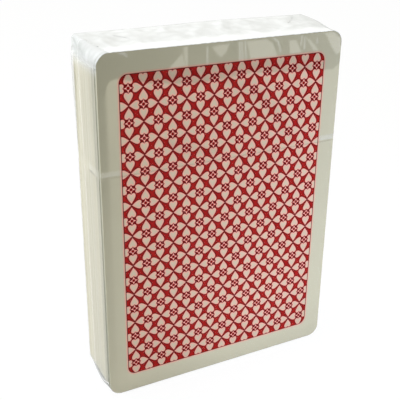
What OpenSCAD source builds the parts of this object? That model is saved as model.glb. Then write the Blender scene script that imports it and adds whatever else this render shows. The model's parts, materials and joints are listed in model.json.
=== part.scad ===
// Deck of playing cards sealed in clear overwrap film with a tear tape
// The pack stands on its short end. X runs along a card's width, Y from the front, where the
// card backs show, to the rear, and Z up. The origin is at the centre of the base.

/* [Cards] */
// Width of a card
card_w = 63; // [50:0.5:76]
// Height of a card
card_h = 88; // [80:0.5:121]
// Thickness of a card
card_t = 0.27; // [0.22:0.01:0.4]
// Radius of a card's corners
corner_r = 3; // [1.5:0.1:6]
// Air between two cards
card_gap = 0.02; // [0.01:0.005:0.06]

/* [Film] */
// Thickness of the film
film_t = 0.06; // [0.03:0.01:0.15]
// Slack between the film and the cards
film_gap = 0.06; // [0.04:0.01:0.2]
// Width of the lap seam on the left side
seam_w = 10; // [4:0.5:10]
// Distance from the front to the lap seam's free edge
seam_inset = 1.4; // [0.5:0.1:2]
// Depth of the front flap on each folded end
front_flap = 8.5; // [5:0.5:10]
// Gap between the front flap and the rear flap
flap_gap = 0.3; // [0.1:0.1:1]
// Slant of the flaps' sides, from the line of the fold
flap_slant = 45; // [35:1:65]

/* [Tear tape] */
// Height of the tape's lower edge above the cards' lower edge
tape_z = 59.5; // [30:0.5:70]
// Width of the tape
tape_w = 2; // [1:0.1:4]
// Width of the perforation on each side of the tape
tape_cut = 0.05; // [0.03:0.01:0.2]
// Length of the pull tab
tab_l = 6; // [3:0.5:8]
// Clearance between the pull tab and the seam under it
tab_gap = 0.05; // [0.03:0.01:0.2]

/* [Hidden] */
$fn = 64;
ranks = ["ace", "two", "three", "four", "five", "six", "seven", "eight", "nine", "ten", "jack", "queen", "king"];
rising = [0 : len(ranks) - 1];
falling = [len(ranks) - 1 : -1 : 0];
// The order of a new pack, from the front card to the rear one
CARDS = concat(
    ["first_joker", "second_joker"],
    [for (i = rising) str(ranks[i], "_of_spades")],
    [for (i = rising) str(ranks[i], "_of_diamonds")],
    [for (i = falling) str(ranks[i], "_of_clubs")],
    [for (i = falling) str(ranks[i], "_of_hearts")]
);

card_step = card_t + card_gap;
stack_t = len(CARDS) * card_step - card_gap;
skin = film_gap + film_t;
// The cards' lower edge stands on the film's end wall and its folded flaps
foot = skin + film_t;
wrap_w = card_w + 2 * skin;
wrap_t = stack_t + 2 * skin;
wrap_h = card_h + 2 * skin;
pack_h = wrap_h + 2 * film_t;
tape_bottom = foot + tape_z;
tape_top = tape_bottom + tape_w;
seam_x = -wrap_w / 2 - film_t;
seam_front = -wrap_t / 2 + seam_inset;
// More than the film stands out on any side, for the slabs that part it at the tape
margin = 5;

// Flat outline with round corners, standing on the X axis
module round_outline(w, h, r) {
    translate([-w / 2, r]) square([w, h - 2 * r]);
    translate([-w / 2 + r, 0]) square([w - 2 * r, h]);
    for (x = [-w / 2 + r, w / 2 - r], y = [r, h - r])
        translate([x, y]) circle(r);
}

// Upright block with that outline as its front, centred on X and Y
module round_block(w, t, h, r) {
    translate([0, t / 2, 0])
        rotate([90, 0, 0])
            linear_extrude(t) round_outline(w, h, r);
}

// One card, counted from the front
module card(i) {
    color("ivory")
        translate([0, (card_t - stack_t) / 2 + i * card_step, foot])
            round_block(card_w, card_t, card_h, corner_r);
}

// Flap of an end fold: its long edge lies on Y = 0 and its slanted sides draw in towards +Y
module flap(depth) {
    long = card_w / 2 - corner_r;
    short = long - depth / tan(flap_slant);
    linear_extrude(film_t)
        polygon([[-long, 0], [long, 0], [short, depth], [-short, depth]]);
}

// The two flaps that close an end, one layer thick
module end_fold() {
    translate([0, -wrap_t / 2, 0]) flap(front_flap);
    translate([0, wrap_t / 2, 0]) mirror([0, 1, 0]) flap(wrap_t - front_flap - flap_gap);
}

// Second layer of film where its two edges lap, on the straight part of the left side
module lap_seam() {
    translate([seam_x, seam_front, foot + corner_r])
        cube([film_t, seam_w, card_h - 2 * corner_r]);
}

// The whole wrap before the tape parts it
module wrap() {
    difference() {
        translate([0, 0, film_t]) round_block(wrap_w, wrap_t, wrap_h, corner_r + skin);
        translate([0, 0, foot - film_gap])
            round_block(wrap_w - 2 * film_t, wrap_t - 2 * film_t, wrap_h - 2 * film_t, corner_r + film_gap);
    }
    lap_seam();
    end_fold();
    translate([0, 0, pack_h - film_t]) end_fold();
}

// The stretch of the wrap between two heights
module wrap_between(low, high) {
    intersection() {
        wrap();
        translate([-wrap_w / 2 - margin, -wrap_t / 2 - margin, low])
            cube([wrap_w + 2 * margin, wrap_t + 2 * margin, high - low]);
    }
}

// Sleeve that holds the cards below the tape
module film_lower() {
    color("lightcyan", 0.4) wrap_between(-margin, tape_bottom - tape_cut);
}

// Cap that lifts off the cards above the tape
module film_upper() {
    color("lightcyan", 0.4) wrap_between(tape_top + tape_cut, pack_h + margin);
}

// Band that the tape tears out of the wrap
module tear_strip() {
    color("whitesmoke", 0.7) wrap_between(tape_bottom, tape_top);
}

// Free end of the tape, flat against the lap seam, with a round tip at the seam's edge
module pull_tab() {
    tip_r = tape_w / 2;
    color("whitesmoke", 0.7)
        translate([seam_x - tab_gap - film_t, seam_front, tape_bottom])
            rotate([90, 0, 90])
                linear_extrude(film_t) {
                    translate([tip_r, tip_r]) circle(tip_r);
                    translate([tip_r, 0]) square([tab_l - tip_r, tape_w]);
                }
}

for (i = [0 : len(CARDS) - 1])
    card(i);
film_lower();
film_upper();
tear_strip();
pull_tab();
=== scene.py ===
import json
import math

import bmesh
import bpy
import numpy as np
from mathutils import Matrix, Vector, noise


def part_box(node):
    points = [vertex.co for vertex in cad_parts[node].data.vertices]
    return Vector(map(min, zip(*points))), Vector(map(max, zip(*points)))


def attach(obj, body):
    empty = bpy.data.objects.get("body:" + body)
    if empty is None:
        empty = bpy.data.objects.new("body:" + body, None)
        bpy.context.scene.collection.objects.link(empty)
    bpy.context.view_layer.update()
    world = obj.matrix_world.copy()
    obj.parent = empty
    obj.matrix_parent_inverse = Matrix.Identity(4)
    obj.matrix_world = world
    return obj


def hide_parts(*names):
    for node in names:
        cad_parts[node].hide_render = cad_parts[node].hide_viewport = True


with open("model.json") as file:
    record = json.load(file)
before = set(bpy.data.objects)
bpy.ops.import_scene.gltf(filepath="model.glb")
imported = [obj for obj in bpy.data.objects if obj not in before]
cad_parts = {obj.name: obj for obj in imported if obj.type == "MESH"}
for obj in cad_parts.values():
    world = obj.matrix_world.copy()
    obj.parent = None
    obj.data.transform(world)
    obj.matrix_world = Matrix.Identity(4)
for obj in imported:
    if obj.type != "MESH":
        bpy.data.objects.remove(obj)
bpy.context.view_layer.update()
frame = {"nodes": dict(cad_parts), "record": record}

# Sizes in this script are millimetres, and the frame is in metres
MM = 0.001
IMAGE_PX = 400
SENSOR_MM = 36.0


def box_mm(node_name):
    """Lowest and highest corner of a CAD node in millimetres."""
    low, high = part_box(node_name)
    return low / MM, high / MM


def mix(a, b, share):
    """The value that lies that share of the way from a to b."""
    return a + (b - a) * share


def ease(value, start, end):
    """Smooth step from 0 at start to 1 at end, also for arrays."""
    share = np.clip((value - start) / (end - start), 0.0, 1.0)
    return share * share * (3 - 2 * share)


# Cards of the pack, from the front one to the rear one
CARDS = [row["node"] for row in frame["record"]["subparts"] if row["material_slot"] == "card_stock"]
FRONT_CARD, REAR_CARD = CARDS[0], CARDS[-1]
front_low, front_high = box_mm(FRONT_CARD)
rear_low, rear_high = box_mm(REAR_CARD)
CARD_W = front_high.x - front_low.x
CARD_H = front_high.z - front_low.z
CARD_FOOT = front_low.z

# Camera: its place and lens were worked out from the print's lattice and the pack's edges
EYE = Vector((-81.9, -156.7, 126.7))
TURN, DIP, ROLL = math.radians(28.605), math.radians(23.876), math.radians(1.373)
LENS_PX = 758.37
LENS_AXIS_PX = (222.48, 189.89)

camera_data = bpy.data.cameras.new("camera")
camera_data.sensor_width = SENSOR_MM
camera_data.lens = LENS_PX / IMAGE_PX * SENSOR_MM
camera_data.shift_x = 0.5 - LENS_AXIS_PX[0] / IMAGE_PX
camera_data.shift_y = LENS_AXIS_PX[1] / IMAGE_PX - 0.5
camera_data.clip_start = 0.01
camera = bpy.data.objects.new("camera", camera_data)
camera.matrix_world = (
    Matrix.Translation(EYE * MM)
    @ Matrix.Rotation(-TURN, 4, "Z")
    @ Matrix.Rotation(math.pi / 2 - DIP, 4, "X")
    @ Matrix.Rotation(ROLL, 4, "Z")
)
bpy.context.scene.collection.objects.link(camera)
bpy.context.scene.camera = camera


# Materials
def colour(code):
    """Linear colour of an sRGB hex value."""
    parts = [int(code[i:i + 2], 16) / 255 for i in (1, 3, 5)]
    return tuple(p / 12.92 if p <= 0.04045 else ((p + 0.055) / 1.055) ** 2.4 for p in parts) + (1.0,)


def node(tree, kind, inputs=None, out=0, stops=None, points=None, **settings):
    """Adds a node, sets it up, feeds its inputs with values or sockets, and returns one of its outputs."""
    made = tree.nodes.new("ShaderNode" + kind)
    for name, value in settings.items():
        setattr(made, name, value)
    for key, value in (inputs or {}).items():
        if isinstance(value, bpy.types.NodeSocket):
            tree.links.new(value, made.inputs[key])
        else:
            made.inputs[key].default_value = value
    for i, (place, code, alpha) in enumerate(stops or ()):
        elements = made.color_ramp.elements
        stop = elements[i] if i < 2 else elements.new(place)
        stop.position = place
        stop.color = colour(code)[:3] + (alpha,)
    for i, spot in enumerate(points or ()):
        curve = made.mapping.curves[0]
        if i < 2:
            curve.points[i].location = spot
        else:
            curve.points.new(*spot)
    if points:
        made.mapping.extend = "HORIZONTAL"
        made.mapping.update()
    return made.outputs[out]


def material(name):
    """Empty material with its output node."""
    made = bpy.data.materials.new(name)
    made.use_nodes = True
    made.node_tree.nodes.clear()
    return made, made.node_tree, made.node_tree.nodes.new("ShaderNodeOutputMaterial")


def finish_material(tree, output, shader):
    """Links a shader to the material's output."""
    tree.links.new(shader, output.inputs["Surface"])


def finish_card(tree, output, ink, specular):
    """Ends a card's material: ink or bare board, with fibres about 0.2 mm apart under a thin coat."""
    place = node(tree, "TexCoord", out="Object")
    fibre = node(tree, "TexNoise", {"Vector": place, "Scale": 1 / (0.2 * MM), "Detail": 3.0})
    patches = node(tree, "TexNoise", {"Vector": place, "Scale": 1 / (6 * MM), "Detail": 2.0})
    roughness = node(tree, "MapRange", {"Value": patches, "To Min": 0.42, "To Max": 0.56})
    bump = node(tree, "Bump", {"Height": fibre, "Strength": 0.06, "Distance": 0.02 * MM})
    shader = node(tree, "BsdfPrincipled", {
        "Base Color": ink, "Roughness": roughness, "Normal": bump, "Specular IOR Level": specular})
    finish_material(tree, output, shader)


BOARD_TINTS = ("#B8B3A0", "#B4AE9A", "#BCB7A6", "#B0AB95", "#B6B1A1")


def card_board(name, tint):
    """Cut card stock: matt ivory layers, a touch darker or lighter from sheet to sheet."""
    made, tree, output = material(name)
    finish_card(tree, output, colour(tint), 0.25)
    return made


# Print of the card backs: rows of stars and crossings with a heart on each line between them
PITCH_X, PITCH_Z = 3.51, 3.99
PRINT_X, PRINT_Z = 0.09, CARD_FOOT + CARD_H / 2
PANEL_W, PANEL_H, PANEL_R = 53.32, 78.06, 2.0
PRINT_ROWS = 19
RED_INK, RIM_INK, DARK_INK, EYE_INK = "#A0181A", "#5E0E11", "#6C0E12", "#760E10"
PINK_INK, STAR_INK = "#DB998A", "#F2A99C"
HEART_PAPER, BORDER_PAPER = "#BBAA94", "#AFA993"
# Lengths in the lattice are in units of 4 mm from a star
UNIT = 4.0
# Length of a star's points, the power that hollows its sides, and where its edge fades in that measure
STAR_REACH, STAR_POWER, STAR_EDGE = 0.38, 0.47, (0.9, 1.05)
# Where the star's eye and the dark square round the star fade
EYE_EDGE, SQUARE_EDGE = (0.088, 0.118), (0.40, 0.52)
# A heart lies on the line from a star to a crossing: its half width at a place on the line, where its lobes
# start at a distance from the line, and the way from its lobes to its tip
HEART_FLANK = (
    (0.0, 0.0), (1.0, 0.0), (0.22, 0.13), (0.24, 0.188), (0.265, 0.222), (0.30, 0.249), (0.36, 0.267),
    (0.42, 0.265), (0.50, 0.244), (0.60, 0.194), (0.70, 0.130), (0.79, 0.066), (0.90, 0.0))
HEART_CREST = (
    (0.0, 0.318), (1.0, 0.8), (0.03, 0.285), (0.065, 0.252), (0.10, 0.234), (0.13, 0.228), (0.16, 0.231),
    (0.195, 0.246), (0.225, 0.272), (0.25, 0.315), (0.27, 0.39))
HEART_START, HEART_LENGTH = 0.228, 0.635
# How far a heart's dark rim reaches outside and its pink bleed inside, and how much shorter a level heart is
RIM_OUT, BLEED_IN, LEVEL_LOSS = 0.13, 0.15, 0.11


def heart(tree, along, across):
    """Depth inside a heart's outline, negative outside, in the same unit as along and across."""
    flank = node(tree, "FloatCurve", {"Value": along}, points=HEART_FLANK)
    crest = node(tree, "FloatCurve", {"Value": across}, points=HEART_CREST)
    side = node(tree, "Math", {0: flank, 1: across}, operation="SUBTRACT")
    # The flanks slope, so the way straight across overstates the depth
    side = node(tree, "Math", {0: side, 1: 0.85}, operation="MULTIPLY")
    lobe = node(tree, "Math", {0: along, 1: crest}, operation="SUBTRACT")
    return node(tree, "Math", {0: side, 1: lobe, 2: 0.03}, operation="SMOOTH_MIN")


def position_mm(tree):
    """Place on the part in millimetres."""
    place = node(tree, "TexCoord", out="Object")
    return node(tree, "VectorMath", {0: place, "Scale": 1 / MM}, operation="SCALE")


def fading(tree, value, start, end):
    """1 where the value is below start, falling to 0 at end."""
    return node(tree, "MapRange", {
        "Value": value, "From Min": start, "From Max": end, "To Min": 1.0, "To Max": 0.0})


def printed_back():
    """Offset print in one red on ivory card, varnished: flat ink with a darker rim and a soft pink bleed."""
    made, tree, output = material("printed card back")
    place = position_mm(tree)

    # Fold the lattice onto one star: along is the way to the next crossing, across the way off that line
    lattice = node(tree, "VectorMath", {
        0: place, 1: (1 / PITCH_X, 0, 1 / PITCH_Z), 2: (-PRINT_X / PITCH_X, 0, -PRINT_Z / PITCH_Z)},
        operation="MULTIPLY_ADD")
    rising = node(tree, "VectorMath", {0: lattice, 1: (0.5, 0, 0.5)}, "Value", operation="DOT_PRODUCT")
    falling = node(tree, "VectorMath", {0: lattice, 1: (0.5, 0, -0.5)}, "Value", operation="DOT_PRODUCT")
    cell = node(tree, "CombineXYZ", {"X": rising, "Y": falling})
    cell = node(tree, "VectorMath", {0: cell, 1: (0.5, 0.5, 0.5), 2: (-0.5, -0.5, -0.5)}, operation="WRAP")
    unit_x, unit_z = PITCH_X / UNIT, PITCH_Z / UNIT
    level = node(tree, "VectorMath", {0: cell, 1: (unit_x, unit_x, 0)}, "Value", operation="DOT_PRODUCT")
    plumb = node(tree, "VectorMath", {0: cell, 1: (unit_z, -unit_z, 0)}, "Value", operation="DOT_PRODUCT")
    level = node(tree, "Math", {0: level}, operation="ABSOLUTE")
    plumb = node(tree, "Math", {0: plumb}, operation="ABSOLUTE")
    along = node(tree, "Math", {0: level, 1: plumb}, operation="MAXIMUM")
    across = node(tree, "Math", {0: level, 1: plumb}, operation="MINIMUM")

    # Red ground, uneven by a few hundredths as offset ink is, in patches of about 1.5 mm
    mottle = node(tree, "TexNoise", {"Vector": place, "Scale": 1 / 1.5, "Detail": 2.0})
    ground = node(tree, "ValToRGB", {"Fac": mottle}, stops=((0.3, "#901816", 1), (0.7, "#9C1F1C", 1)))

    # Dark square round each star
    reach = node(tree, "Math", {0: along, 1: across}, operation="ADD")
    dark = fading(tree, reach, *SQUARE_EDGE)
    ink = node(tree, "MixRGB", {"Fac": dark, "Color1": ground, "Color2": colour(DARK_INK)})

    # Hearts are bare paper with a dark rim outside and a pink bleed inside.
    # Those that lie level are a little shorter than those that stand
    lying = node(tree, "Math", {0: level, 1: plumb}, operation="GREATER_THAN")
    spare = node(tree, "Math", {0: along, 1: LEVEL_LOSS, 2: -LEVEL_LOSS / 2}, operation="MULTIPLY_ADD")
    run = node(tree, "Math", {0: lying, 1: spare, 2: along}, operation="MULTIPLY_ADD")
    depth = heart(tree, run, across)
    depth = node(tree, "MapRange", {"Value": depth, "From Min": -RIM_OUT, "From Max": BLEED_IN})
    shade = node(tree, "ValToRGB", {"Fac": depth}, stops=(
        (0.04, RIM_INK, 0.0), (0.84, HEART_PAPER, 1.0), (0.25, RIM_INK, 0.55), (0.39, RIM_INK, 0.95),
        (0.45, RIM_INK, 1.0), (0.50, PINK_INK, 1.0), (0.59, PINK_INK, 1.0)))
    # No heart lies along the rows of stars outside the panel, though their sides would reach into it
    row = node(tree, "SeparateXYZ", {0: lattice}, "Z")
    row = node(tree, "Math", {0: row}, operation="ABSOLUTE")
    beyond = node(tree, "Math", {0: row, 1: PRINT_ROWS / 2}, operation="GREATER_THAN")
    left_out = node(tree, "Math", {0: beyond, 1: lying}, operation="MULTIPLY")
    shown = node(tree, "Math", {0: 1.0, 1: left_out}, operation="SUBTRACT")
    shown = node(tree, "Math", {0: shown, 1: shade.node.outputs["Alpha"]}, operation="MULTIPLY")
    ink = node(tree, "MixRGB", {"Fac": shown, "Color1": ink, "Color2": shade})

    # Star with its dark eye
    ray = node(tree, "Math", {0: along, 1: STAR_REACH}, operation="DIVIDE")
    waist = node(tree, "Math", {0: across, 1: STAR_REACH}, operation="DIVIDE")
    ray = node(tree, "Math", {0: ray, 1: STAR_POWER}, operation="POWER")
    waist = node(tree, "Math", {0: waist, 1: STAR_POWER}, operation="POWER")
    star = node(tree, "Math", {0: ray, 1: waist}, operation="ADD")
    star = fading(tree, star, *STAR_EDGE)
    ink = node(tree, "MixRGB", {"Fac": star, "Color1": ink, "Color2": colour(STAR_INK)})
    eye = node(tree, "CombineXYZ", {"X": along, "Y": across})
    eye = node(tree, "VectorMath", {0: eye}, "Value", operation="LENGTH")
    eye = fading(tree, eye, *EYE_EDGE)
    ink = node(tree, "MixRGB", {"Fac": eye, "Color1": ink, "Color2": colour(EYE_INK)})

    # The ink is darker towards the foot of the sheet
    foot_darkening = node(tree, "SeparateXYZ", {0: place}, "Z")
    foot_darkening = node(tree, "MapRange", {
        "Value": foot_darkening, "From Min": 8.0, "From Max": 50.0, "To Min": 0.88, "To Max": 0.98})
    ink = node(tree, "VectorMath", {0: ink, "Scale": foot_darkening}, operation="SCALE")

    # Panel with round corners inside the bare border
    off = node(tree, "VectorMath", {
        0: place, 1: (1, 0, 1), 2: (-PRINT_X, 0, -PRINT_Z)}, operation="MULTIPLY_ADD")
    off = node(tree, "VectorMath", {0: off}, operation="ABSOLUTE")
    off = node(tree, "VectorMath", {
        0: off, 1: (PANEL_W / 2 - PANEL_R, 0, PANEL_H / 2 - PANEL_R)}, operation="SUBTRACT")
    off = node(tree, "VectorMath", {0: off, 1: (0, 0, 0)}, operation="MAXIMUM")
    off = node(tree, "VectorMath", {0: off}, "Value", operation="LENGTH")
    off = node(tree, "MapRange", {"Value": off, "From Min": PANEL_R - 0.4, "From Max": PANEL_R + 0.8})
    edge = node(tree, "ValToRGB", {"Fac": off}, stops=(
        (0.18, DARK_INK, 0.0), (0.85, BORDER_PAPER, 1.0), (0.25, "#3E1512", 0.9), (0.36, "#4E1C19", 1.0),
        (0.43, "#D49284", 1.0), (0.60, "#BCA08C", 1.0)))
    ink = node(tree, "MixRGB", {"Fac": edge.node.outputs["Alpha"], "Color1": ink, "Color2": edge})

    # Only the outer half of the sheet's thickness is printed
    depth_y = node(tree, "SeparateXYZ", {0: place}, "Y")
    outside = node(tree, "Math", {0: depth_y, 1: (front_low.y + front_high.y) / 2}, operation="LESS_THAN")
    ink = node(tree, "MixRGB", {"Fac": outside, "Color1": colour(BORDER_PAPER), "Color2": ink})

    finish_card(tree, output, ink, 0.03)
    return made


# Face of the rear card: one large heart, and an index with a small heart in two corners
ACE_HEART = 18.0
INDEX_X, INDEX_TOP, INDEX_H, INDEX_HALF_W, INDEX_STROKE = 26.6, 40.0, 6.0, 2.1, 0.85
INDEX_BAR = 4.2
PIP_TOP, PIP_H = 32.6, 4.6


def ace_face():
    """Offset print on ivory card, varnished: one flat red."""
    made, tree, output = material("printed ace")
    place = node(tree, "VectorMath", {0: position_mm(tree), 1: (0, 0, PRINT_Z)}, operation="SUBTRACT")
    # Seen from the rear, the face's right is towards -X
    right = node(tree, "VectorMath", {0: place, 1: (-1, 0, 0)}, "Value", operation="DOT_PRODUCT")
    up = node(tree, "SeparateXYZ", {0: place}, "Z")

    def pip(place_right, place_up, top, height):
        """Depth inside an upright heart of that height below its top."""
        unit = HEART_LENGTH / height
        drop = node(tree, "Math", {0: top, 1: place_up}, operation="SUBTRACT")
        along = node(tree, "Math", {0: drop, 1: unit, 2: HEART_START}, operation="MULTIPLY_ADD")
        across = node(tree, "Math", {0: place_right, 1: unit}, operation="MULTIPLY")
        across = node(tree, "Math", {0: across}, operation="ABSOLUTE")
        return heart(tree, along, across)

    big = pip(right, up, ACE_HEART / 2, ACE_HEART)

    # The two corners are one drawing, turned by half a turn below the middle
    half = node(tree, "Math", {0: up}, operation="SIGN")
    corner_right = node(tree, "Math", {0: right, 1: half, 2: INDEX_X}, operation="MULTIPLY_ADD")
    corner_up = node(tree, "Math", {0: up}, operation="ABSOLUTE")
    small = pip(corner_right, corner_up, PIP_TOP, PIP_H)

    # Letter A from two legs and a bar
    drop = node(tree, "Math", {0: INDEX_TOP, 1: corner_up}, operation="SUBTRACT")
    aside = node(tree, "Math", {0: corner_right}, operation="ABSOLUTE")
    spread = node(tree, "Math", {0: drop, 1: INDEX_HALF_W / INDEX_H}, operation="MULTIPLY")
    inner = node(tree, "Math", {0: spread, 1: aside}, operation="SUBTRACT")
    leg = node(tree, "Math", {0: inner}, operation="ABSOLUTE")
    leg = node(tree, "Math", {0: INDEX_STROKE / 2, 1: leg}, operation="SUBTRACT")
    bar = node(tree, "Math", {0: drop, 1: INDEX_BAR}, operation="SUBTRACT")
    bar = node(tree, "Math", {0: bar}, operation="ABSOLUTE")
    bar = node(tree, "Math", {0: INDEX_STROKE / 2, 1: bar}, operation="SUBTRACT")
    bar = node(tree, "Math", {0: bar, 1: inner}, operation="MINIMUM")
    letter = node(tree, "Math", {0: leg, 1: bar}, operation="MAXIMUM")
    foot = node(tree, "Math", {0: INDEX_H, 1: drop}, operation="SUBTRACT")
    letter = node(tree, "Math", {0: letter, 1: foot}, operation="MINIMUM")
    letter = node(tree, "Math", {0: letter, 1: drop}, operation="MINIMUM")

    shape = node(tree, "Math", {0: big, 1: small}, operation="MAXIMUM")
    shape = node(tree, "Math", {0: shape, 1: letter}, operation="MAXIMUM")
    inked = node(tree, "Math", {0: shape, 1: 0.0}, operation="GREATER_THAN")
    depth_y = node(tree, "SeparateXYZ", {0: place}, "Y")
    outside = node(tree, "Math", {0: depth_y, 1: (rear_low.y + rear_high.y) / 2}, operation="GREATER_THAN")
    inked = node(tree, "Math", {0: inked, 1: outside}, operation="MULTIPLY")
    ink = node(tree, "MixRGB", {"Fac": inked, "Color1": colour(BORDER_PAPER), "Color2": colour(RED_INK)})

    finish_card(tree, output, ink, 0.2)
    return made


# Painted shade: tint the film lets through and grey of its fog where fully shaded, and the fog's own pale
# colour
FILM_SHADE_TINT, FOG_PALE, FOG_SHADE_GREY = "#E8E9E8", "#FAFAFA", "#B2B3AE"


def clear_film(name, ior):
    """Cast polypropylene film: clear and glossy, milky where creased, darkened by painted shade where it
    clings.
    """
    made, tree, output = material(name)
    cling_shade = node(tree, "Attribute", out="Fac", attribute_name="cling_shade")
    milk = node(tree, "Attribute", out="Fac", attribute_name="milk")
    place = node(tree, "TexCoord", out="Object")
    # Ripples left by the rollers, a few millimetres apart
    ripple = node(tree, "TexNoise", {"Vector": place, "Scale": 1 / (4 * MM), "Detail": 2.0})
    bump = node(tree, "Bump", {"Height": ripple, "Strength": 0.3, "Distance": 0.2 * MM})
    # Painted shade: where the film clings, the attribute darkens what it lets through and greys its fog
    through = node(tree, "MixRGB", {"Fac": cling_shade, "Color1": colour("#FFFFFF"), "Color2": colour(FILM_SHADE_TINT)})
    clear = node(tree, "BsdfTransparent", {"Color": through})
    gloss = node(tree, "BsdfGlossy", {"Color": colour("#FFFFFF"), "Roughness": 0.06, "Normal": bump})
    # Only the outer face of a sheet reflects: rays aren't bent here, so going out they would be trapped
    fresnel = node(tree, "Fresnel", {"IOR": ior, "Normal": bump})
    leaving = node(tree, "NewGeometry", out="Backfacing")
    entering = node(tree, "Math", {0: 1.0, 1: leaving}, operation="SUBTRACT")
    fresnel = node(tree, "Math", {0: fresnel, 1: entering}, operation="MULTIPLY")
    skin = node(tree, "MixShader", {0: fresnel, 1: clear, 2: gloss})
    fog = node(tree, "MixRGB", {"Fac": cling_shade, "Color1": colour(FOG_PALE), "Color2": colour(FOG_SHADE_GREY)})
    fog = node(tree, "BsdfDiffuse", {"Color": fog})
    skin = node(tree, "MixShader", {0: milk, 1: skin, 2: fog})
    finish_material(tree, output, skin)
    return made


overwrap = clear_film("polypropylene overwrap", 1.06)
tear_tape = clear_film("polypropylene tear tape", 1.1)

# The cards keep their CAD solids; their tints drift through the pack as stacked sheets do
boards = [card_board(f"card board {i + 1}", tint) for i, tint in enumerate(BOARD_TINTS)]
for i, name in enumerate(CARDS):
    drift = noise.noise(Vector((i * 0.37, 4.2, 1.7)))
    pick = int(np.clip((drift * 0.5 + 0.5) * len(boards), 0, len(boards) - 1))
    frame["nodes"][name].data.materials.clear()
    frame["nodes"][name].data.materials.append(boards[pick])
frame["nodes"][FRONT_CARD].data.materials[0] = printed_back()
frame["nodes"][REAR_CARD].data.materials[0] = ace_face()

# Film: sheets of points round the cards, thickened inwards
cap_low, cap_high = box_mm("film_upper")
sleeve_low, sleeve_high = box_mm("film_lower")
strip_low, strip_high = box_mm("tear_strip")
tab_low, tab_high = box_mm("pull_tab")
WRAP_X = cap_high.x
WRAP_FRONT, WRAP_REAR = cap_low.y, cap_high.y
WRAP_DEPTH = WRAP_REAR - WRAP_FRONT
# Outer face of the lap seam on the left, and how far behind the front its free edge lies
SEAM_X = cap_low.x
SEAM_START = 0.85
# Thickness of the film, and room for the folds of a closed end
FILM_T = 0.05
FLAP_T = 0.06
# Radius of the cards' corners, and of the film over the cards' edges and corners
CARD_R = 3.0
EDGE_R = 0.25
CORNER_R = CARD_R + 0.12
# How much tighter the lower corners turn where the film swells off the cards
FOOT_SWELL = 1.8
# Radius of the top corners at the rear, where the film stands off, and how far it rises there
EAR_R = 0.9
EAR_RISE = 1.05
# Width of the stretch along an edge that stays down on the cards, and of that along the edges of a folded end
LIFT_FADE = 0.6
EDGE_FLAT = 3.0
# How milky the crumpled film round a closed end is, from 0 to 1
END_MILK = 0.92
# How close to a rim the next points lie, so that smooth shading stops there, and how close points are joined
RIM_STEP = 0.02
WELD_GAP = 0.004


def to_rear(y):
    """Share of the way from the front to the rear."""
    return (y - WRAP_FRONT) / WRAP_DEPTH


def graph(place, points):
    """Height of a line through points (place, height), level beyond its ends."""
    return np.interp(place, *zip(*points))


def spaced(length, step, margin):
    """Places from 0 to length, about a step apart, closer together within the margin at both ends."""
    count = max(2, round((length - 2 * margin) / step))
    inner = [margin + (length - 2 * margin) * i / count for i in range(count + 1)]
    return np.array([0.0, margin / 2] + inner + [length - margin / 2, length])


def crisp(start, end, count):
    """Places from start to end with one more close to each end."""
    rim = math.copysign(RIM_STEP, end - start)
    return np.concatenate([[start], np.linspace(start + rim, end - rim, count), [end]])


class Shell:
    """Points and faces of one piece of film, with what the film's material reads at each point."""

    def __init__(self):
        self.points = []
        self.faces = []
        self.cling_shade = []
        self.milk = []

    def grid(self, rows, cling_shade=None, milk=None, flip=False, closed=False):
        """Adds a sheet from rows of points; closed joins the ends of each row."""
        start = len(self.points)
        height, width = len(rows), len(rows[0])
        for r in range(height):
            for c in range(width):
                self.points.append(rows[r][c])
                self.cling_shade.append(0.0 if cling_shade is None else float(cling_shade[r][c]))
                self.milk.append(0.0 if milk is None else float(milk[r][c]))
        for r in range(height - 1):
            for c in range(width if closed else width - 1):
                after = (c + 1) % width
                face = [start + r * width + c, start + r * width + after,
                        start + (r + 1) * width + after, start + (r + 1) * width + c]
                self.faces.append(face[::-1] if flip else face)

    def make(self, name, body, stuff):
        """Builds the piece, thickens it inwards, and lets it ride on its body in place of the node."""
        mesh = bpy.data.meshes.new(name)
        mesh.from_pydata([Vector(p) * MM for p in self.points], [], self.faces)
        # Painted shade and milkiness at each point, which the film's material reads
        for label, values in (("cling_shade", self.cling_shade), ("milk", self.milk)):
            layer = mesh.attributes.new(label, "FLOAT", "POINT")
            layer.data.foreach_set("value", values)
        weld = bmesh.new()
        weld.from_mesh(mesh)
        bmesh.ops.remove_doubles(weld, verts=weld.verts, dist=WELD_GAP * MM)
        weld.to_mesh(mesh)
        weld.free()
        mesh.shade_smooth()
        mesh.materials.append(stuff)
        piece = bpy.data.objects.new(name, mesh)
        bpy.context.scene.collection.objects.link(piece)
        thick = piece.modifiers.new("thickness", "SOLIDIFY")
        thick.thickness = FILM_T * MM
        thick.offset = -1.0
        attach(piece, body)
        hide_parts(body)
        return piece


def round_edge(inset):
    """New distance from an edge, and drop from the face, of a point that lay that far from a sharp edge."""
    turn = math.pi / 4 * np.clip(1 - inset / EDGE_R, 0.0, 1.0)
    kept = np.where(inset < EDGE_R, EDGE_R * (1 - np.sin(turn)), inset)
    return kept, EDGE_R * (1 - np.cos(turn))


def swelling(back):
    """How far the film's lower corners swell off the round cards, by the share of the way to the rear."""
    return ease(back, 0.02, 0.42) * (1 - ease(back, 0.42, 1.0))


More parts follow.
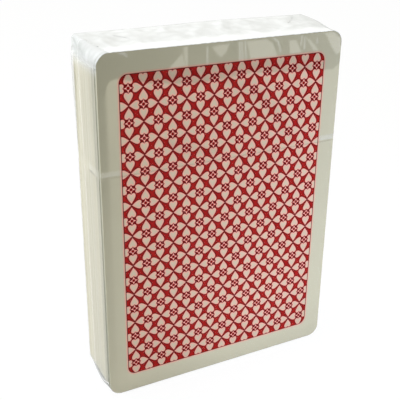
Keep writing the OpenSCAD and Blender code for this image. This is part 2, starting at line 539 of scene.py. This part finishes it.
class Wrap:
    """One end of the overwrap: a sleeve from an open rim to a closed end, up or down."""

    def __init__(self, rim, end, rear_r, rear_rise, step_x, step_y, heights, swell=0.0):
        self.way = 1.0 if end > rim else -1.0
        self.rim, self.end = rim, end
        self.rear_r, self.rear_rise, self.swell = rear_r, rear_rise, swell
        self.across = spaced(2 * WRAP_X, step_x, EDGE_R) / (2 * WRAP_X)
        self.back = spaced(WRAP_DEPTH, step_y, EDGE_R) / WRAP_DEPTH
        turns = np.radians(np.linspace(0, 90, 13))
        self.levels = [(share, 0.0) for share in heights] + [(1.0, turn) for turn in turns[1:]]

    def radius(self, back):
        """Radius of the corners at that share of the way to the rear."""
        return mix(CORNER_R, self.rear_r, ease(back, 0.0, 1.0)) - self.swell * swelling(back)

    def crown(self, back):
        """Height of the closed end at that share of the way to the rear."""
        return self.end + self.way * self.rear_rise * ease(back, 0.1, 1.0)

    def outline(self, level, back):
        """Half width and height of the wrap at a level, that share of the way from the front to the rear."""
        share, turn = level
        r = self.radius(back)
        corner = self.crown(back) - self.way * r
        return WRAP_X - r * (1 - np.cos(turn)), mix(self.rim, corner, share) + self.way * r * np.sin(turn)

    def face(self, back, lift):
        """Rows of points of the front, at back 0, or the rear, at back 1, raised by lift(x, z)."""
        y, out = (WRAP_FRONT, -1.0) if back == 0 else (WRAP_REAR, 1.0)
        r, crown = self.radius(back), self.crown(back)
        rows = []
        for level in self.levels:
            half, z = self.outline(level, back)
            x = mix(-half, half, self.across)
            # Distance to the outline, and the way straight in from it
            dx = np.abs(x) - (WRAP_X - r)
            dz = self.way * (z - crown) + r
            if dz > 0:
                reach = np.hypot(np.maximum(dx, 0), dz)
                inset = np.where(dx > 0, r - reach, -self.way * (z - crown))
                in_x = np.where(dx > 0, -np.sign(x) * np.maximum(dx, 0) / reach, 0.0)
                in_z = np.where(dx > 0, -self.way * dz / reach, -self.way)
            else:
                inset = WRAP_X - np.abs(x)
                in_x, in_z = -np.sign(x), np.zeros_like(x)
            kept, drop = round_edge(np.maximum(inset, 0.0))
            shift = kept - np.maximum(inset, 0.0)
            px, pz = x + in_x * shift, z + in_z * shift
            py = y - out * drop + out * lift(px, pz) * ease(inset, 0.0, LIFT_FADE)
            rows.append(np.stack([px, py, pz], axis=-1))
        return rows

    def side(self, hand, lift, back=None):
        """Rows of points of the side on that hand, from front to rear or at those shares of the way."""
        back = self.back if back is None else back
        from_front = back * WRAP_DEPTH
        inset = np.minimum(from_front, WRAP_DEPTH - from_front)
        kept, drop = round_edge(inset)
        y = np.where(from_front < WRAP_DEPTH / 2, WRAP_FRONT + kept, WRAP_REAR - kept)
        rows = []
        for level in self.levels:
            half, z = self.outline(level, back)
            turn = level[1]
            raised = lift(y, z) * ease(inset, 0.0, LIFT_FADE) * np.cos(turn) - drop
            x = hand * (half + raised * np.cos(turn))
            rows.append(np.stack([x, y, z + self.way * raised * np.sin(turn)], axis=-1))
        return rows

    def closure(self, lift):
        """Rows of points of the closed end, from the front to the rear."""
        rows = []
        for back in self.back:
            half = WRAP_X - self.radius(back)
            from_front = back * WRAP_DEPTH
            inset = min(from_front, WRAP_DEPTH - from_front)
            kept, drop = round_edge(np.float64(inset))
            x = mix(-half, half, self.across)
            y = np.full_like(x, WRAP_FRONT + kept if from_front < WRAP_DEPTH / 2 else WRAP_REAR - kept)
            inside = np.minimum(half - np.abs(x), inset)
            raised = lift(x, y) * ease(inside, 0.0, EDGE_FLAT) - drop
            rows.append(np.stack([x, y, self.crown(back) + self.way * raised], axis=-1))
        return rows


def flat(a, b):
    """No lift anywhere."""
    return np.zeros_like(np.asarray(a) + np.asarray(b))


def crumple(x, y, size, seed):
    """Creased film: ridges about that far apart, from 0 to 1."""
    places = np.broadcast(np.asarray(x), np.asarray(y))
    heights = [1 - 2 * abs(noise.noise(Vector((a / size, b / size, seed)))) for a, b in places]
    return np.clip(np.array(heights).reshape(places.shape), 0.0, 1.0)


# Creases of the front film near the top, in millimetres from the card's middle and its lower edge
LIFTED_PATCHES = (
    ((-15.1, 83.2), (-11.6, 86.4), (-10.8, 83.4)),
    ((-11.5, 87.7), (-10.2, 87.8), (-10.2, 83.4), (-10.9, 83.4)),
    ((-4.4, 87.2), (0.4, 87.6), (-0.9, 85.2), (-1.9, 84.4), (-3.1, 85.4)),
    ((4.6, 87.6), (10.0, 87.7), (11.8, 86.5), (13.2, 83.2), (5.7, 83.4)),
    ((16.1, 86.8), (18.1, 86.8), (19.9, 83.5), (16.6, 83.6)),
    ((20.8, 87.2), (22.2, 86.4), (23.7, 84.9), (25.0, 83.5), (23.3, 83.7), (22.2, 85.2), (21.3, 86.4)),
    ((26.2, 87.7), (28.9, 87.8), (31.2, 86.1), (31.5, 82.5), (30.1, 82.1), (28.3, 84.5), (27.1, 86.5)),
)
CREASE_LINES = (
    ((-26.2, 87.7), (-25.4, 87.7)), ((-25.4, 87.7), (-24.7, 87.0)), ((-5.5, 87.0), (-5.4, 83.4)),
    ((2.7, 87.5), (3.0, 83.5)), ((3.3, 87.5), (3.7, 83.5)), ((4.2, 87.6), (4.6, 83.5)),
    ((11.9, 87.7), (13.2, 86.6)), ((13.2, 86.6), (13.9, 84.3)), ((24.1, 86.6), (24.2, 85.6)),
    ((19.7, 87.4), (19.5, 85.3)), ((20.5, 87.1), (20.6, 84.4)),
)
# Lower edge of the stretch along the top where the film clings to the card and painted shade darkens it
TOP_SHADE_EDGE = (
    (-29.9, 78.6), (-29.4, 80.8), (-28.6, 81.9), (-27.0, 82.3), (-20.0, 80.5), (-8.0, 79.0), (6.0, 80.0),
    (18.0, 79.0), (27.0, 78.6), (29.5, 78.4), (31.6, 80.0))
# Streaks of painted shade over the print where the film clings a little
SHADE_STREAKS = (
    ((-3.3, 80.8), (3.3, 77.7), (8.3, 74.4), (11.9, 70.7), (15.2, 66.9), (17.8, 63.2)),
    ((-14.6, 65.8), (-10.8, 63.7), (-6.9, 62.4), (-3.0, 62.0)),
)
# Width of the stretch along the left edge that painted shade darkens too, and how dark it is at a height
LEFT_SHADE_WIDTH = 1.95
LEFT_SHADE = ((5, 0.15), (45, 0.35), (80, 1.0))
# Painted shade over the whole left border at a height, and where that fades from the left edge
BORDER_SHADE = ((3, 0.08), (12, 0.24), (60, 0.22), (74, 0.0))
BORDER_FADE = (4.4, 5.2)
# Share of the film's darkest painted shade tint that full shade gives it, from left to right, so the left is
# darker
SHADE_SHARE = ((-WRAP_X, 0.48), (-WRAP_X / 3, 0.34), (WRAP_X, 0.31))
# Painted shade and half width of a streak, and half width of a crease
STREAK_SHADE, STREAK_WIDTH, CREASE_WIDTH = 0.4, 1.5, 0.22
# How far the film lies off the card where it is slack, in a lifted patch and on a crease
SLACK_LIFT, PATCH_LIFT, CREASE_LIFT = 0.04, 0.14, 0.1
# How milky it is in a lifted patch, and on a crease near the left corner or elsewhere
PATCH_MILK, CORNER_CREASE_MILK, CREASE_MILK = 0.03, 0.16, 0.08


def to_segment(x, z, a, b):
    """Distance of points to the line between a and b."""
    ax, az = b[0] - a[0], b[1] - a[1]
    share = np.clip(((x - a[0]) * ax + (z - a[1]) * az) / (ax * ax + az * az), 0.0, 1.0)
    return np.hypot(x - a[0] - share * ax, z - a[1] - share * az)


def inside_patch(x, z, corners):
    """Depth of points inside a patch, negative outside it."""
    near = np.full_like(x, np.inf)
    within = np.zeros(x.shape, bool)
    for a, b in zip(corners, corners[1:] + corners[:1]):
        near = np.minimum(near, to_segment(x, z, a, b))
        crosses = (a[1] > z) != (b[1] > z)
        rise = b[1] - a[1] if b[1] != a[1] else 1e-9
        within ^= crosses & (x < a[0] + (z - a[1]) * (b[0] - a[0]) / rise)
    return np.where(within, near, -near)


def front_marks(x, z):
    """Lift, painted shade where the film clings, and milkiness of the film on the front."""
    height = z - CARD_FOOT
    # Painted shade over the stretch along the top, down to its lower edge
    bound = graph(x, TOP_SHADE_EDGE)
    cling_shade = ease(height, bound - 0.15, bound + 0.25)
    # Painted shade down the left edge and over the left border
    from_left = x + WRAP_X
    left = (1 - ease(from_left, LEFT_SHADE_WIDTH - 0.7, LEFT_SHADE_WIDTH + 0.7)) * graph(height, LEFT_SHADE)
    left = left + graph(height, BORDER_SHADE) * (1 - ease(from_left, *BORDER_FADE))
    cling_shade = np.maximum(cling_shade, left)
    # Painted shade in streaks over the print
    for streak in SHADE_STREAKS:
        near = np.full_like(x, np.inf)
        for a, b in zip(streak, streak[1:]):
            near = np.minimum(near, to_segment(x, height, a, b))
        cling_shade = np.maximum(cling_shade, STREAK_SHADE * np.exp(-(near / STREAK_WIDTH) ** 2))
    lift = SLACK_LIFT * (1 - cling_shade)
    milk = np.zeros_like(x)
    for corners in LIFTED_PATCHES:
        depth = inside_patch(x, height, corners)
        patch = ease(depth, -0.15, 0.25)
        cling_shade = cling_shade * (1 - patch)
        lift = np.maximum(lift, PATCH_LIFT * ease(depth, -0.2, 0.8))
        milk = np.maximum(milk, PATCH_MILK * patch)
    for a, b in CREASE_LINES:
        line = np.exp(-(to_segment(x, height, a, b) / CREASE_WIDTH) ** 2)
        lift = lift + CREASE_LIFT * line
        milk = np.maximum(milk, np.where(x < -20, CORNER_CREASE_MILK, CREASE_MILK) * line)
        cling_shade = cling_shade * (1 - line)
    # Painted shade is darker on the left than on the right
    return lift, cling_shade * graph(x, SHADE_SHARE), milk


def lower_lift(a, b):
    """Slack film over the flat of the cards: long shallow waves."""
    waves = [0.5 + 0.5 * noise.noise(Vector((u / 18, v / 40, 3.1))) for u, v in np.broadcast(a, b)]
    return 0.05 * np.clip(np.array(waves).reshape(np.broadcast(a, b).shape), 0.0, 1.0)


def end_lift(x, y):
    """Folded film on the top: flat folds with crossing creases."""
    return 0.25 * crumple(x, y, 7.0, 1.5) + 0.10 * crumple(x, y, 2.6, 7.5)


def flap(wrap, edge_y, depth, lift, direction, layer):
    """Rows of points of one folded flap: its long edge on a fold, its slanted sides drawn in."""
    rows = []
    long = CARD_W / 2 - CARD_R
    for run in crisp(EDGE_R, depth, 24):
        y = edge_y + direction * run
        half = long - run
        x = crisp(-half, half, 120)
        ys = np.full_like(x, y)
        under = lift(x, ys) * ease(min(run, WRAP_DEPTH - run), 0.0, EDGE_FLAT)
        loose = mix(0.01, layer, ease(run, 0.0, 1.5)) + 0.06 * crumple(x, ys, 5.0, 11.5) * ease(run, 1.0, 4.0)
        z = wrap.crown(to_rear(y)) + wrap.way * (under + loose)
        rows.append(np.stack([x, ys, z], axis=-1))
    return rows


def end_milk(wrap, row, most=END_MILK, reach=5.0):
    """Milkiness of the crumpled film round the closed end."""
    return most * ease(wrap.way * (row[:, 2] - wrap.end), -reach, -0.5)


def rear_milk(wrap, row):
    """Milkiness of the rear film: along the closed end, and where the card's round corners leave it bare."""
    beyond_x = np.maximum(np.abs(row[:, 0]) - (WRAP_X - CORNER_R), 0.0)
    beyond_z = np.maximum(wrap.way * (row[:, 2] - wrap.end) + CORNER_R, 0.0)
    bare = np.hypot(beyond_x, beyond_z) - CORNER_R
    return END_MILK * ease(bare, -0.4, 0.0)


def end_shade(row):
    """Painted shade on the folds of the closed end: grey in the creases, towards the ends and at the rear,
    where the lamps reach less behind the front.
    """
    creases = 0.14 + 0.14 * crumple(row[:, 0], row[:, 1], 3.0, 21.5)
    ends = 0.10 * ease(np.abs(row[:, 0]), WRAP_X - 12, WRAP_X - 3)
    rear = 0.42 * (1 - ease(WRAP_REAR - row[:, 1], 0.1, 1.0))
    return (creases + ends + rear) * ease(row[:, 1] - WRAP_FRONT, 2.0, 5.0)


# Painted shade strip on the left side behind the front edge, where the film clings to the cards: how far it
# reaches at a height, and how much darker it is low down
SIDE_REACH = ((45, 2.4), (75, 6.5))
SIDE_LOW_SHADE = ((10, 0.46), (26, 0.36), (36, 0.18), (60, 0.0))


def side_shade(row):
    """Painted shade of the left side in the strip behind the front edge."""
    behind = row[:, 1] - WRAP_FRONT
    reach = graph(row[:, 2], SIDE_REACH)
    fade = 0.4 * (1 - ease(behind, 0.8, reach)) + 0.2 * (1 - ease(behind, 0.9, 1.6))
    low = graph(row[:, 2], SIDE_LOW_SHADE) * (1 - ease(behind, 1.8, 3.8))
    return np.minimum(fade + low, 1.0) * ease(behind, 0.1, 0.4)


def side_marks(wrap, row, turn, hand):
    """Painted shade and milkiness of a row of points of a side, at that turn round the corner."""
    up = wrap.way > 0
    milk = 0.8 * end_milk(wrap, row, 1.0, 7.2) ** 2 if up else end_milk(wrap, row, 0.15)
    # Painted shade: the creases of the milky film are grey, greyer on the sides than where the film turns
    # over the end
    creases = 0.8 + 0.4 * crumple(row[:, 1], row[:, 2], 2.0, 31.5)
    cling_shade = milk * creases * mix(0.95, 0.35, math.sin(turn) ** 2)
    if hand > 0:
        return cling_shade, milk
    # Painted shade strip behind the front edge on the left side
    cling_shade = np.maximum(cling_shade, side_shade(row) * math.cos(turn))
    if up:
        # Faint painted shade where the film is loose at the rear of the cap
        veil = ease(row[:, 2], 62.0, 74.0) * ease(WRAP_REAR - row[:, 1], 1.6, 0.4) * math.cos(turn)
        veil_shade, veil_milk = 0.35, 0.15
    else:
        # Dense milky film with painted shade where the lower corner swells off the cards
        veil = ease(turn, 0.2, 0.7) * np.minimum(4 * swelling(to_rear(row[:, 1])), 1.0)
        veil_shade, veil_milk = 0.55, 0.8
    return np.maximum(cling_shade, veil_shade * veil), np.maximum(milk, veil_milk * veil)


def wrap_piece(wrap, shell, front_lift, side_lift, top_lift):
    """Adds the walls and the closed end of a wrap to a shell."""
    up = wrap.way > 0
    front = wrap.face(0, front_lift)
    marks = [front_marks(row[:, 0], row[:, 2]) for row in front]
    shell.grid(front, [m[1] for m in marks], [m[2] for m in marks], flip=not up)
    rear = wrap.face(1, flat)
    shell.grid(rear, milk=[rear_milk(wrap, row) for row in rear], flip=up)
    for hand in (-1, 1):
        wall = wrap.side(hand, side_lift)
        marks = [side_marks(wrap, row, turn, hand) for row, (share, turn) in zip(wall, wrap.levels)]
        shell.grid(wall, [m[0] for m in marks], [m[1] for m in marks], flip=up if hand < 0 else not up)
    top = wrap.closure(top_lift)
    shell.grid(top, [end_shade(row) for row in top], [end_milk(wrap, row) for row in top], flip=not up)


# How dark the seam's painted shade lines are at a height: lower down they lie in the darker painted strip, so
# they are faint
SEAM_SHADE = ((8, 0.2), (30, 0.5), (60, 1.0))


def seam_shade_line(behind):
    """Painted shade line along the lap seam's free edge."""
    return 1 - ease(behind, SEAM_START + 0.15, SEAM_START + 0.5)


def add_seam(shell, wrap, last_turn):
    """Adds the lap seam on the left, up to that turn round the corner, with a painted shade line along its
    free edge and a second, fainter one.
    """
    behind = SEAM_START + np.concatenate([np.linspace(0.0, 2.4, 25), np.linspace(2.8, 10.5, 16)])
    lines = seam_shade_line(behind) + 0.35 * np.exp(-((behind - SEAM_START - 1.8) / 0.25) ** 2)
    stand_off = -WRAP_X - SEAM_X
    sheet = wrap.side(-1, lambda y, z: np.full_like(y, stand_off), behind / WRAP_DEPTH)
    kept = [(row, turn) for row, (share, turn) in zip(sheet, wrap.levels) if turn <= last_turn]
    cling_shade = [lines * graph(row[:, 2], SEAM_SHADE) * math.cos(turn) for row, turn in kept]
    shell.grid([row for row, turn in kept], cling_shade, flip=wrap.way > 0)


# How far the cap's film is let out at the left rear, drawn in at the right rear and raised between them
OUT_LEFT, IN_RIGHT, RISE_REAR = 0.35, 1.3, 0.28


def settle(points):
    """Lets the cap's film out at the left rear, raises its rear edge and draws in its right rear corner."""
    x, y, z = points.T
    back = to_rear(y)
    left = OUT_LEFT * ease(z, 62.0, 80.0) * (1 - 0.9 * ease(z, 84.5, 88.0))
    left = left * ease(back, 0.2, 1.0) * ease(-x, 18.0, WRAP_X)
    right = IN_RIGHT * ease(z, 86.8, 88.6) * ease(back, 0.45, 1.0) * ease(x, 20.0, WRAP_X)
    rise = RISE_REAR * ease(z, 87.0, 88.6) * ease(back, 0.3, 1.0) * np.exp(-((x - 4.0) / 13.0) ** 2)
    return np.stack([x - left - right, y, z + rise], axis=-1)


# Upper film: its points lie closer together from a height up, where it is creased. Two flaps are folded over
# its end: how deep each is, and how far it lies above the film under it
FINE_FROM, COARSE_STEP, FINE_STEP = 76.5, 0.9, 0.3
FRONT_FLAP, FRONT_LAYER = 8.5, 0.13
REAR_FLAP, REAR_LAYER = 9.5, 0.03
cap_end = cap_high.z - FLAP_T
corner_start = cap_end - CORNER_R
coarse = np.concatenate([[cap_low.z], np.arange(cap_low.z + RIM_STEP, FINE_FROM, COARSE_STEP)])
fine = np.arange(FINE_FROM, corner_start, FINE_STEP)
heights = np.concatenate([coarse, fine, [corner_start]])
cap_run = (heights - cap_low.z) / (corner_start - cap_low.z)
cap_wrap = Wrap(cap_low.z, cap_end, EAR_R, EAR_RISE, step_x=0.3, step_y=0.55, heights=cap_run)
cap = Shell()
wrap_piece(cap_wrap, cap, lambda x, z: front_marks(x, z)[0], lower_lift, end_lift)
front_fold = flap(cap_wrap, WRAP_FRONT, FRONT_FLAP, end_lift, 1.0, FRONT_LAYER)
rear_fold = flap(cap_wrap, WRAP_REAR, REAR_FLAP, end_lift, -1.0, REAR_LAYER)
for fold, under in ((front_fold, False), (rear_fold, True)):
    cap.grid(fold, [end_shade(row) for row in fold], [end_milk(cap_wrap, row) for row in fold], flip=under)
add_seam(cap, cap_wrap, math.pi)
cap.points = settle(np.array(cap.points))
cap.make("film_cap", "film_upper", overwrap)

# Lower film: its levels are shares of the way down, the second one close to the rim
SLEEVE_RIM, SLEEVE_LEVELS = 0.0004, 58
sleeve_end = sleeve_low.z + FLAP_T
sleeve_run = np.concatenate([[0.0], np.linspace(SLEEVE_RIM, 1, SLEEVE_LEVELS)])
sleeve_wrap = Wrap(
    sleeve_high.z, sleeve_end, CORNER_R, 0.0, step_x=0.7, step_y=0.5, heights=sleeve_run, swell=FOOT_SWELL)
sleeve = Shell()
wrap_piece(sleeve_wrap, sleeve, lower_lift, lower_lift, flat)
add_seam(sleeve, sleeve_wrap, 0.0)
sleeve.make("film_sleeve", "film_lower", overwrap)


def band_rows(low, high, stand_off):
    """Rows of points of the tear strip, one loop a row."""
    across = spaced(2 * WRAP_X, 0.4, EDGE_R)
    back = spaced(WRAP_DEPTH, 0.3, EDGE_R)
    kept_x, drop_x = round_edge(np.minimum(across, 2 * WRAP_X - across))
    kept_y, drop_y = round_edge(np.minimum(back, WRAP_DEPTH - back))
    x = np.where(across < WRAP_X, -WRAP_X + kept_x, WRAP_X - kept_x)
    y = np.where(back < WRAP_DEPTH / 2, WRAP_FRONT + kept_y, WRAP_REAR - kept_y)
    rows = []
    for share in crisp(0, 1, 19):
        puff = stand_off * math.sin(math.pi * share)
        z = mix(low, high, share)
        loop = [(a, WRAP_FRONT + d - puff, z) for a, d in zip(x, drop_x)]
        loop += [(WRAP_X - d + puff, b, z) for b, d in zip(y[1:], drop_y[1:])]
        loop += [(a, WRAP_REAR - d + puff, z) for a, d in zip(x[-2::-1], drop_x[-2::-1])]
        loop += [(-WRAP_X + d - puff, b, z) for b, d in zip(y[-2:0:-1], drop_y[-2:0:-1])]
        rows.append(np.array(loop))
    return rows


def tape_marks(row):
    """Painted shade and milkiness of the tear tape: a painted shade line at its lower edge, and a paler
    stretch above that.
    """
    front = row[:, 1] < WRAP_FRONT + EDGE_R
    above = row[:, 2] - strip_low.z
    tape = ease(above, 0.5, 0.75) * ease(above, 2.0, 1.6)
    cling_shade = front_marks(row[:, 0], row[:, 2])[1] * (1 - 0.8 * tape)
    # Painted shade line along the tape's lower edge
    cling_shade = np.maximum(cling_shade, 0.3 * np.exp(-((above - 0.15) / 0.2) ** 2))
    milk = 0.07 * tape + 0.06 * np.exp(-((above - 0.75) / 0.15) ** 2)
    # Over the print the film lies so close that its milkiness doesn't show
    milk = milk * ease(np.abs(row[:, 0] - PRINT_X), PANEL_W / 2, PANEL_W / 2 + 0.6)
    milk = milk * np.where(row[:, 0] < 0, 0.6, 1.0)
    # On the left side the seam's painted shade line and the painted shade strip go on across the tape
    behind = row[:, 1] - WRAP_FRONT
    line = ease(behind, SEAM_START - 0.2, SEAM_START) * seam_shade_line(behind)
    left = np.where(row[:, 0] < EDGE_R - WRAP_X, np.maximum(line, side_shade(row)), 0.0)
    return np.where(front, cling_shade, left), np.where(front, milk, 0.0)


# Tear strip, a little puffed between its edges
STRIP_PUFF = 0.015
strip = Shell()
band = band_rows(strip_low.z, strip_high.z, STRIP_PUFF)
marks = [tape_marks(row) for row in band]
strip.grid(band, [m[0] for m in marks], [m[1] for m in marks], closed=True)
strip.make("tear_band", "tear_strip", tear_tape)

# Pull tab: the free end of the tape, with a round tip
TAB_R = (tab_high.z - tab_low.z) / 2
TAB_Z = (tab_low.z + tab_high.z) / 2
TAB_MILK, TAB_CURL = 0.02, 0.04
tab = Shell()
rows = []
for share in crisp(-1, 1, 9):
    tip = tab_low.y + TAB_R - math.sqrt(max(0.0, 1 - share * share)) * TAB_R
    ys = crisp(tip, tab_high.y, 15)
    curl = TAB_CURL * ease(ys, tab_high.y - 2.0, tab_low.y)
    rows.append(np.stack([tab_low.x - curl, ys, np.full_like(ys, TAB_Z + share * TAB_R)], axis=-1))
tab.grid(rows, milk=[np.full(len(row), TAB_MILK) for row in rows], flip=True)
tab.make("tape_tab", "pull_tab", tear_tape).data.shade_flat()


# Stage: pale paper floor, soft lamps and a white surround
FLOOR_HALF, FLOOR_DROP = 2000.0, 0.2
PAPER_WHITE = 0.93


def seen_rays(tree):
    """1 for rays that show a surface to the eye, straight, mirrored or through film, 0 for other light."""
    path = node(tree, "LightPath", out="Is Camera Ray")
    seen = node(tree, "Math", {0: path, 1: path.node.outputs["Is Glossy Ray"]}, operation="MAXIMUM")
    return node(tree, "Math", {0: seen, 1: path.node.outputs["Is Transmission Ray"]}, operation="MAXIMUM")


def studio_paper():
    """Matt white paper."""
    made, tree, output = material("studio paper")
    grain = node(tree, "TexNoise", {"Vector": node(tree, "TexCoord", out="Object"), "Scale": 400.0})
    bump = node(tree, "Bump", {"Height": grain, "Strength": 0.05, "Distance": 0.1 * MM})
    paper = node(tree, "BsdfDiffuse", {"Color": colour("#F2F2F0"), "Normal": bump})
    white = node(tree, "Emission", {"Color": colour("#FFFFFF"), "Strength": 1.0})
    share = node(tree, "Math", {0: seen_rays(tree), 1: PAPER_WHITE}, operation="MULTIPLY")
    finish_material(tree, output, node(tree, "MixShader", {0: share, 1: paper, 2: white}))
    return made


floor_mesh = bpy.data.meshes.new("floor")
corners = [(x * FLOOR_HALF * MM, y * FLOOR_HALF * MM, 0) for x, y in ((-1, -1), (1, -1), (1, 1), (-1, 1))]
floor_mesh.from_pydata(corners, [], [(0, 1, 2, 3)])
floor_mesh.materials.append(studio_paper())
floor = bpy.data.objects.new("floor", floor_mesh)
floor.location.z = -FLOOR_DROP * MM
bpy.context.scene.collection.objects.link(floor)


def softbox(name, place, aim, size, power, tint, mirrored):
    """Square lamp at a place, turned to a point, both in millimetres; mirrored says if gloss shows it."""
    lamp = bpy.data.lights.new(name, "AREA")
    lamp.size = size * MM
    lamp.energy = power
    lamp.color = colour(tint)[:3]
    made = bpy.data.objects.new(name, lamp)
    made.location = Vector(place) * MM
    made.rotation_euler = (Vector(aim) - Vector(place)).to_track_quat("-Z", "Y").to_euler()
    made.visible_camera = False
    made.visible_glossy = mirrored
    bpy.context.scene.collection.objects.link(made)


softbox("overhead softbox", (-250, 100, 1200), (0, 0, 40), 800, 5.0, "#F6F8FF", True)
softbox("left softbox", (-500, 150, 200), (0, 0, 40), 300, 2.35, "#F0F6FF", False)
softbox("right fill", (110, -70, 60), (15, 0, 25), 60, 0.12, "#CCDCFF", False)
softbox("floor glow", (10, -42, 8), (5, 0, 8), 30, 0.0075, "#E2EEFF", False)

world = bpy.data.worlds.new("surround")
bpy.context.scene.world = world
world.use_nodes = True
sky = world.node_tree
sky.nodes.clear()
ambient = node(sky, "Background", {"Color": colour("#FFFFF6"), "Strength": 0.73})
white = node(sky, "Background", {"Color": colour("#FFFFFF"), "Strength": 1.0})
surround = node(sky, "MixShader", {0: seen_rays(sky), 1: ambient, 2: white})
sky.links.new(surround, sky.nodes.new("ShaderNodeOutputWorld").inputs["Surface"])

bpy.context.scene.view_settings.view_transform = "Standard"

bpy.context.view_layer.update()
